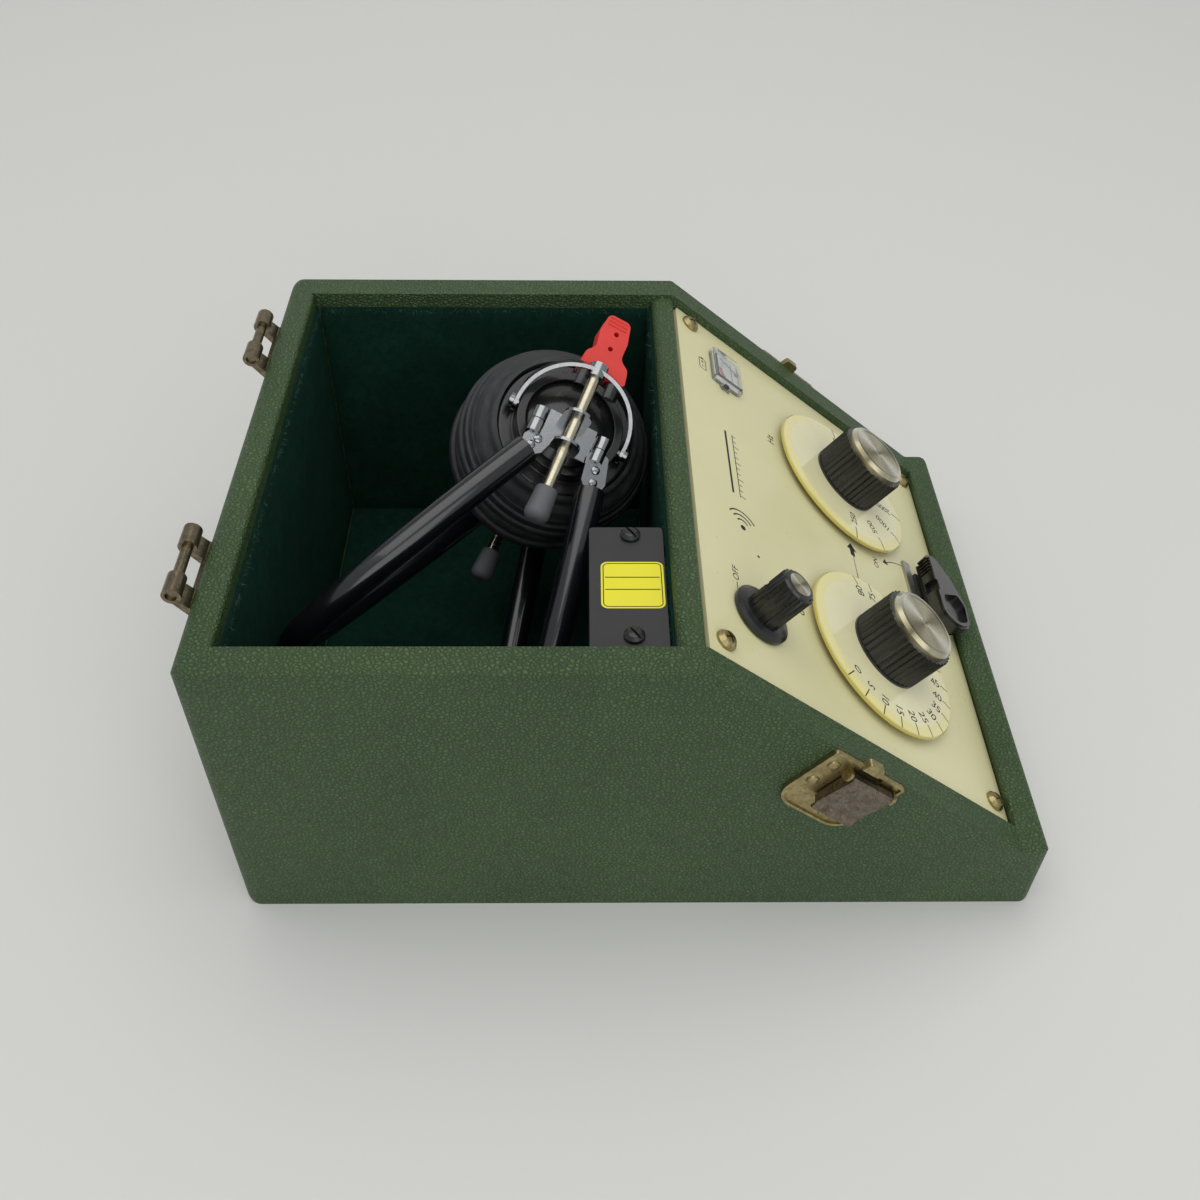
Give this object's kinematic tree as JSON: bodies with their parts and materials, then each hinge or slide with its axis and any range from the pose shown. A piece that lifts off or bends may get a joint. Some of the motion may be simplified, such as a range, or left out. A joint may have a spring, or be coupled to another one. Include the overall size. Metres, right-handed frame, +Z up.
{
  "type": "portable audiometer",
  "caption": "Portable hearing-test unit in a sloped green case with a knob and dial panel, a felt-lined bay and a stowed headset.",
  "frame": {"origin": "bottom centre of the case body, on the surface it stands on", "axes": "+Z up, -Y towards the user (the low nose), +Y towards the hinge side, -X the user's left"},
  "size_m": [0.2074, 0.261, 0.1237],
  "materials": {
    "leatherette": "green pebble-grain leatherette over board",
    "felt": "dark green felt",
    "cleat_wood": "bare softwood",
    "panel_enamel": "cream enamel on aluminium",
    "brass_fittings": "aged brass and bronze",
    "lever_metal": "worn nickel over brass",
    "black_plastic": "black moulded plastic",
    "black_screws": "blackened steel",
    "battery_wrap": "battery sleeve",
    "works_metal": "plain turned metal",
    "board": "phenolic board",
    "clear_plastic": "clear acrylic",
    "dial_ivory": "glossy ivory acrylic",
    "spun_aluminium": "spun aluminium",
    "paddle_grey": "satin grey plastic",
    "bright_chrome": "chrome on pressed steel",
    "nickel_rod": "nickel rod with grey rubber tip",
    "spring_steel": "blue-grey spring strip",
    "black_vinyl": "glossy black vinyl tube",
    "cushion_rubber": "ribbed grey-black rubber",
    "coral_plastic": "coral moulded plastic",
    "blue_plastic": "blue moulded plastic"
  },
  "bodies": {
    "case": {"side_wall_left": "leatherette", "side_wall_right": "leatherette", "back_wall": "leatherette", "front_wall": "leatherette", "base_board": "leatherette", "divider": "leatherette", "felt_floor": "felt", "felt_back": "felt", "felt_front": "felt", "felt_left": "felt", "felt_right": "felt", "panel_cleats": "cleat_wood", "panel": "panel_enamel", "panel_screws": "brass_fittings", "hinge_left": "brass_fittings", "hinge_right": "brass_fittings", "hinge_pins": "brass_fittings", "hinge_screws": "brass_fittings", "catch_plate_left": "brass_fittings", "catch_plate_right": "brass_fittings", "catch_pins": "brass_fittings", "battery_case": "black_plastic", "battery_cover": "black_plastic", "cover_screws": "black_screws", "batteries": "battery_wrap", "decibel_attenuator": "works_metal", "frequency_switch": "works_metal", "output_switch": "works_metal", "tone_switch": "black_plastic", "circuit_board": "board", "meter_body": "works_metal", "meter_lens": "clear_plastic"},
    "decibel_control": {"decibel_dial": "dial_ivory", "decibel_knob": "black_plastic", "decibel_cap": "spun_aluminium"},
    "frequency_control": {"frequency_dial": "dial_ivory", "frequency_knob": "black_plastic", "frequency_cap": "spun_aluminium"},
    "output_control": {"output_knob": "black_plastic", "output_insert": "spun_aluminium"},
    "tone_turn": {"tone_spindle": "works_metal"},
    "tone_press": {"tone_paddle": "paddle_grey"},
    "lever_left": {"catch_lever_left": "lever_metal"},
    "lever_right": {"catch_lever_right": "lever_metal"},
    "headset": {"upper_bracket": "bright_chrome", "lower_bracket": "bright_chrome", "band_leaves": "bright_chrome", "leaf_pins": "bright_chrome", "band_tubes": "black_vinyl", "band_springs": "spring_steel"},
    "upper_slide": {"upper_yoke": "bright_chrome", "upper_rod": "nickel_rod"},
    "upper_earphone": {"upper_receiver": "black_plastic", "upper_cushion": "cushion_rubber", "upper_connector": "coral_plastic"},
    "lower_slide": {"lower_yoke": "bright_chrome", "lower_rod": "nickel_rod"},
    "lower_earphone": {"lower_receiver": "black_plastic", "lower_cushion": "cushion_rubber", "lower_connector": "blue_plastic"}
  },
  "joints": [
    {"name": "decibel_dial_turn", "type": "hinge", "parent": "case", "child": "decibel_control", "pos_m": [-0.0432, -0.07677, 0.05721], "axis": [0, -0.6275, 0.7787], "range_deg": [-15, 225]},
    {"name": "frequency_dial_turn", "type": "hinge", "parent": "case", "child": "frequency_control", "pos_m": [0.0432, -0.07677, 0.05721], "axis": [0, -0.6275, 0.7787], "range_deg": [-180, 0]},
    {"name": "output_knob_turn", "type": "hinge", "parent": "case", "child": "output_control", "pos_m": [-0.059, -0.0334, 0.09216], "axis": [0, -0.6275, 0.7787], "range_deg": [-30, 30]},
    {"name": "tone_lever_turn", "type": "hinge", "parent": "case", "child": "tone_turn", "pos_m": [0, -0.10559, 0.03399], "axis": [0, -0.6275, 0.7787], "range_deg": [0, 30]},
    {"name": "tone_lever_press", "type": "slide", "parent": "tone_turn", "child": "tone_press", "axis": [0, 0.6275, -0.7787], "range_m": [0, 0.0015], "stiffness_N_per_m": 400, "springref_m": -0.001},
    {"name": "left_lever_lift", "type": "hinge", "parent": "case", "child": "lever_left", "pos_m": [-0.1014, -0.06291, 0.06632], "axis": [0, 0.7787, 0.6275], "range_deg": [0, 95]},
    {"name": "right_lever_lift", "type": "hinge", "parent": "case", "child": "lever_right", "pos_m": [0.1014, -0.06291, 0.06632], "axis": [0, -0.7787, -0.6275], "range_deg": [0, 95]},
    {"name": "headset_lift", "type": "slide", "parent": "case", "child": "headset", "axis": [0, 0, 1], "range_m": [0, 0.16]},
    {"name": "upper_rod_slide", "type": "slide", "parent": "headset", "child": "upper_slide", "axis": [-0.8498, 0.3537, -0.3907], "range_m": [0, 0.012]},
    {"name": "lower_rod_slide", "type": "slide", "parent": "headset", "child": "lower_slide", "axis": [-0.8498, 0.3537, -0.3907], "range_m": [0, 0.012]},
    {"name": "upper_receiver_tilt", "type": "hinge", "parent": "upper_slide", "child": "upper_earphone", "pos_m": [0.01908, 0.02333, 0.10233], "axis": [-0.17, -0.8856, -0.4322], "range_deg": [-5, 5]},
    {"name": "lower_receiver_tilt", "type": "hinge", "parent": "lower_slide", "child": "lower_earphone", "pos_m": [0.04402, 0.03837, 0.06169], "axis": [-0.17, -0.8856, -0.4322], "range_deg": [-5, 5]}
  ],
  "couplings": [
    {"joint": "lower_receiver_tilt", "follows": "upper_receiver_tilt", "ratio": 1}
  ]
}
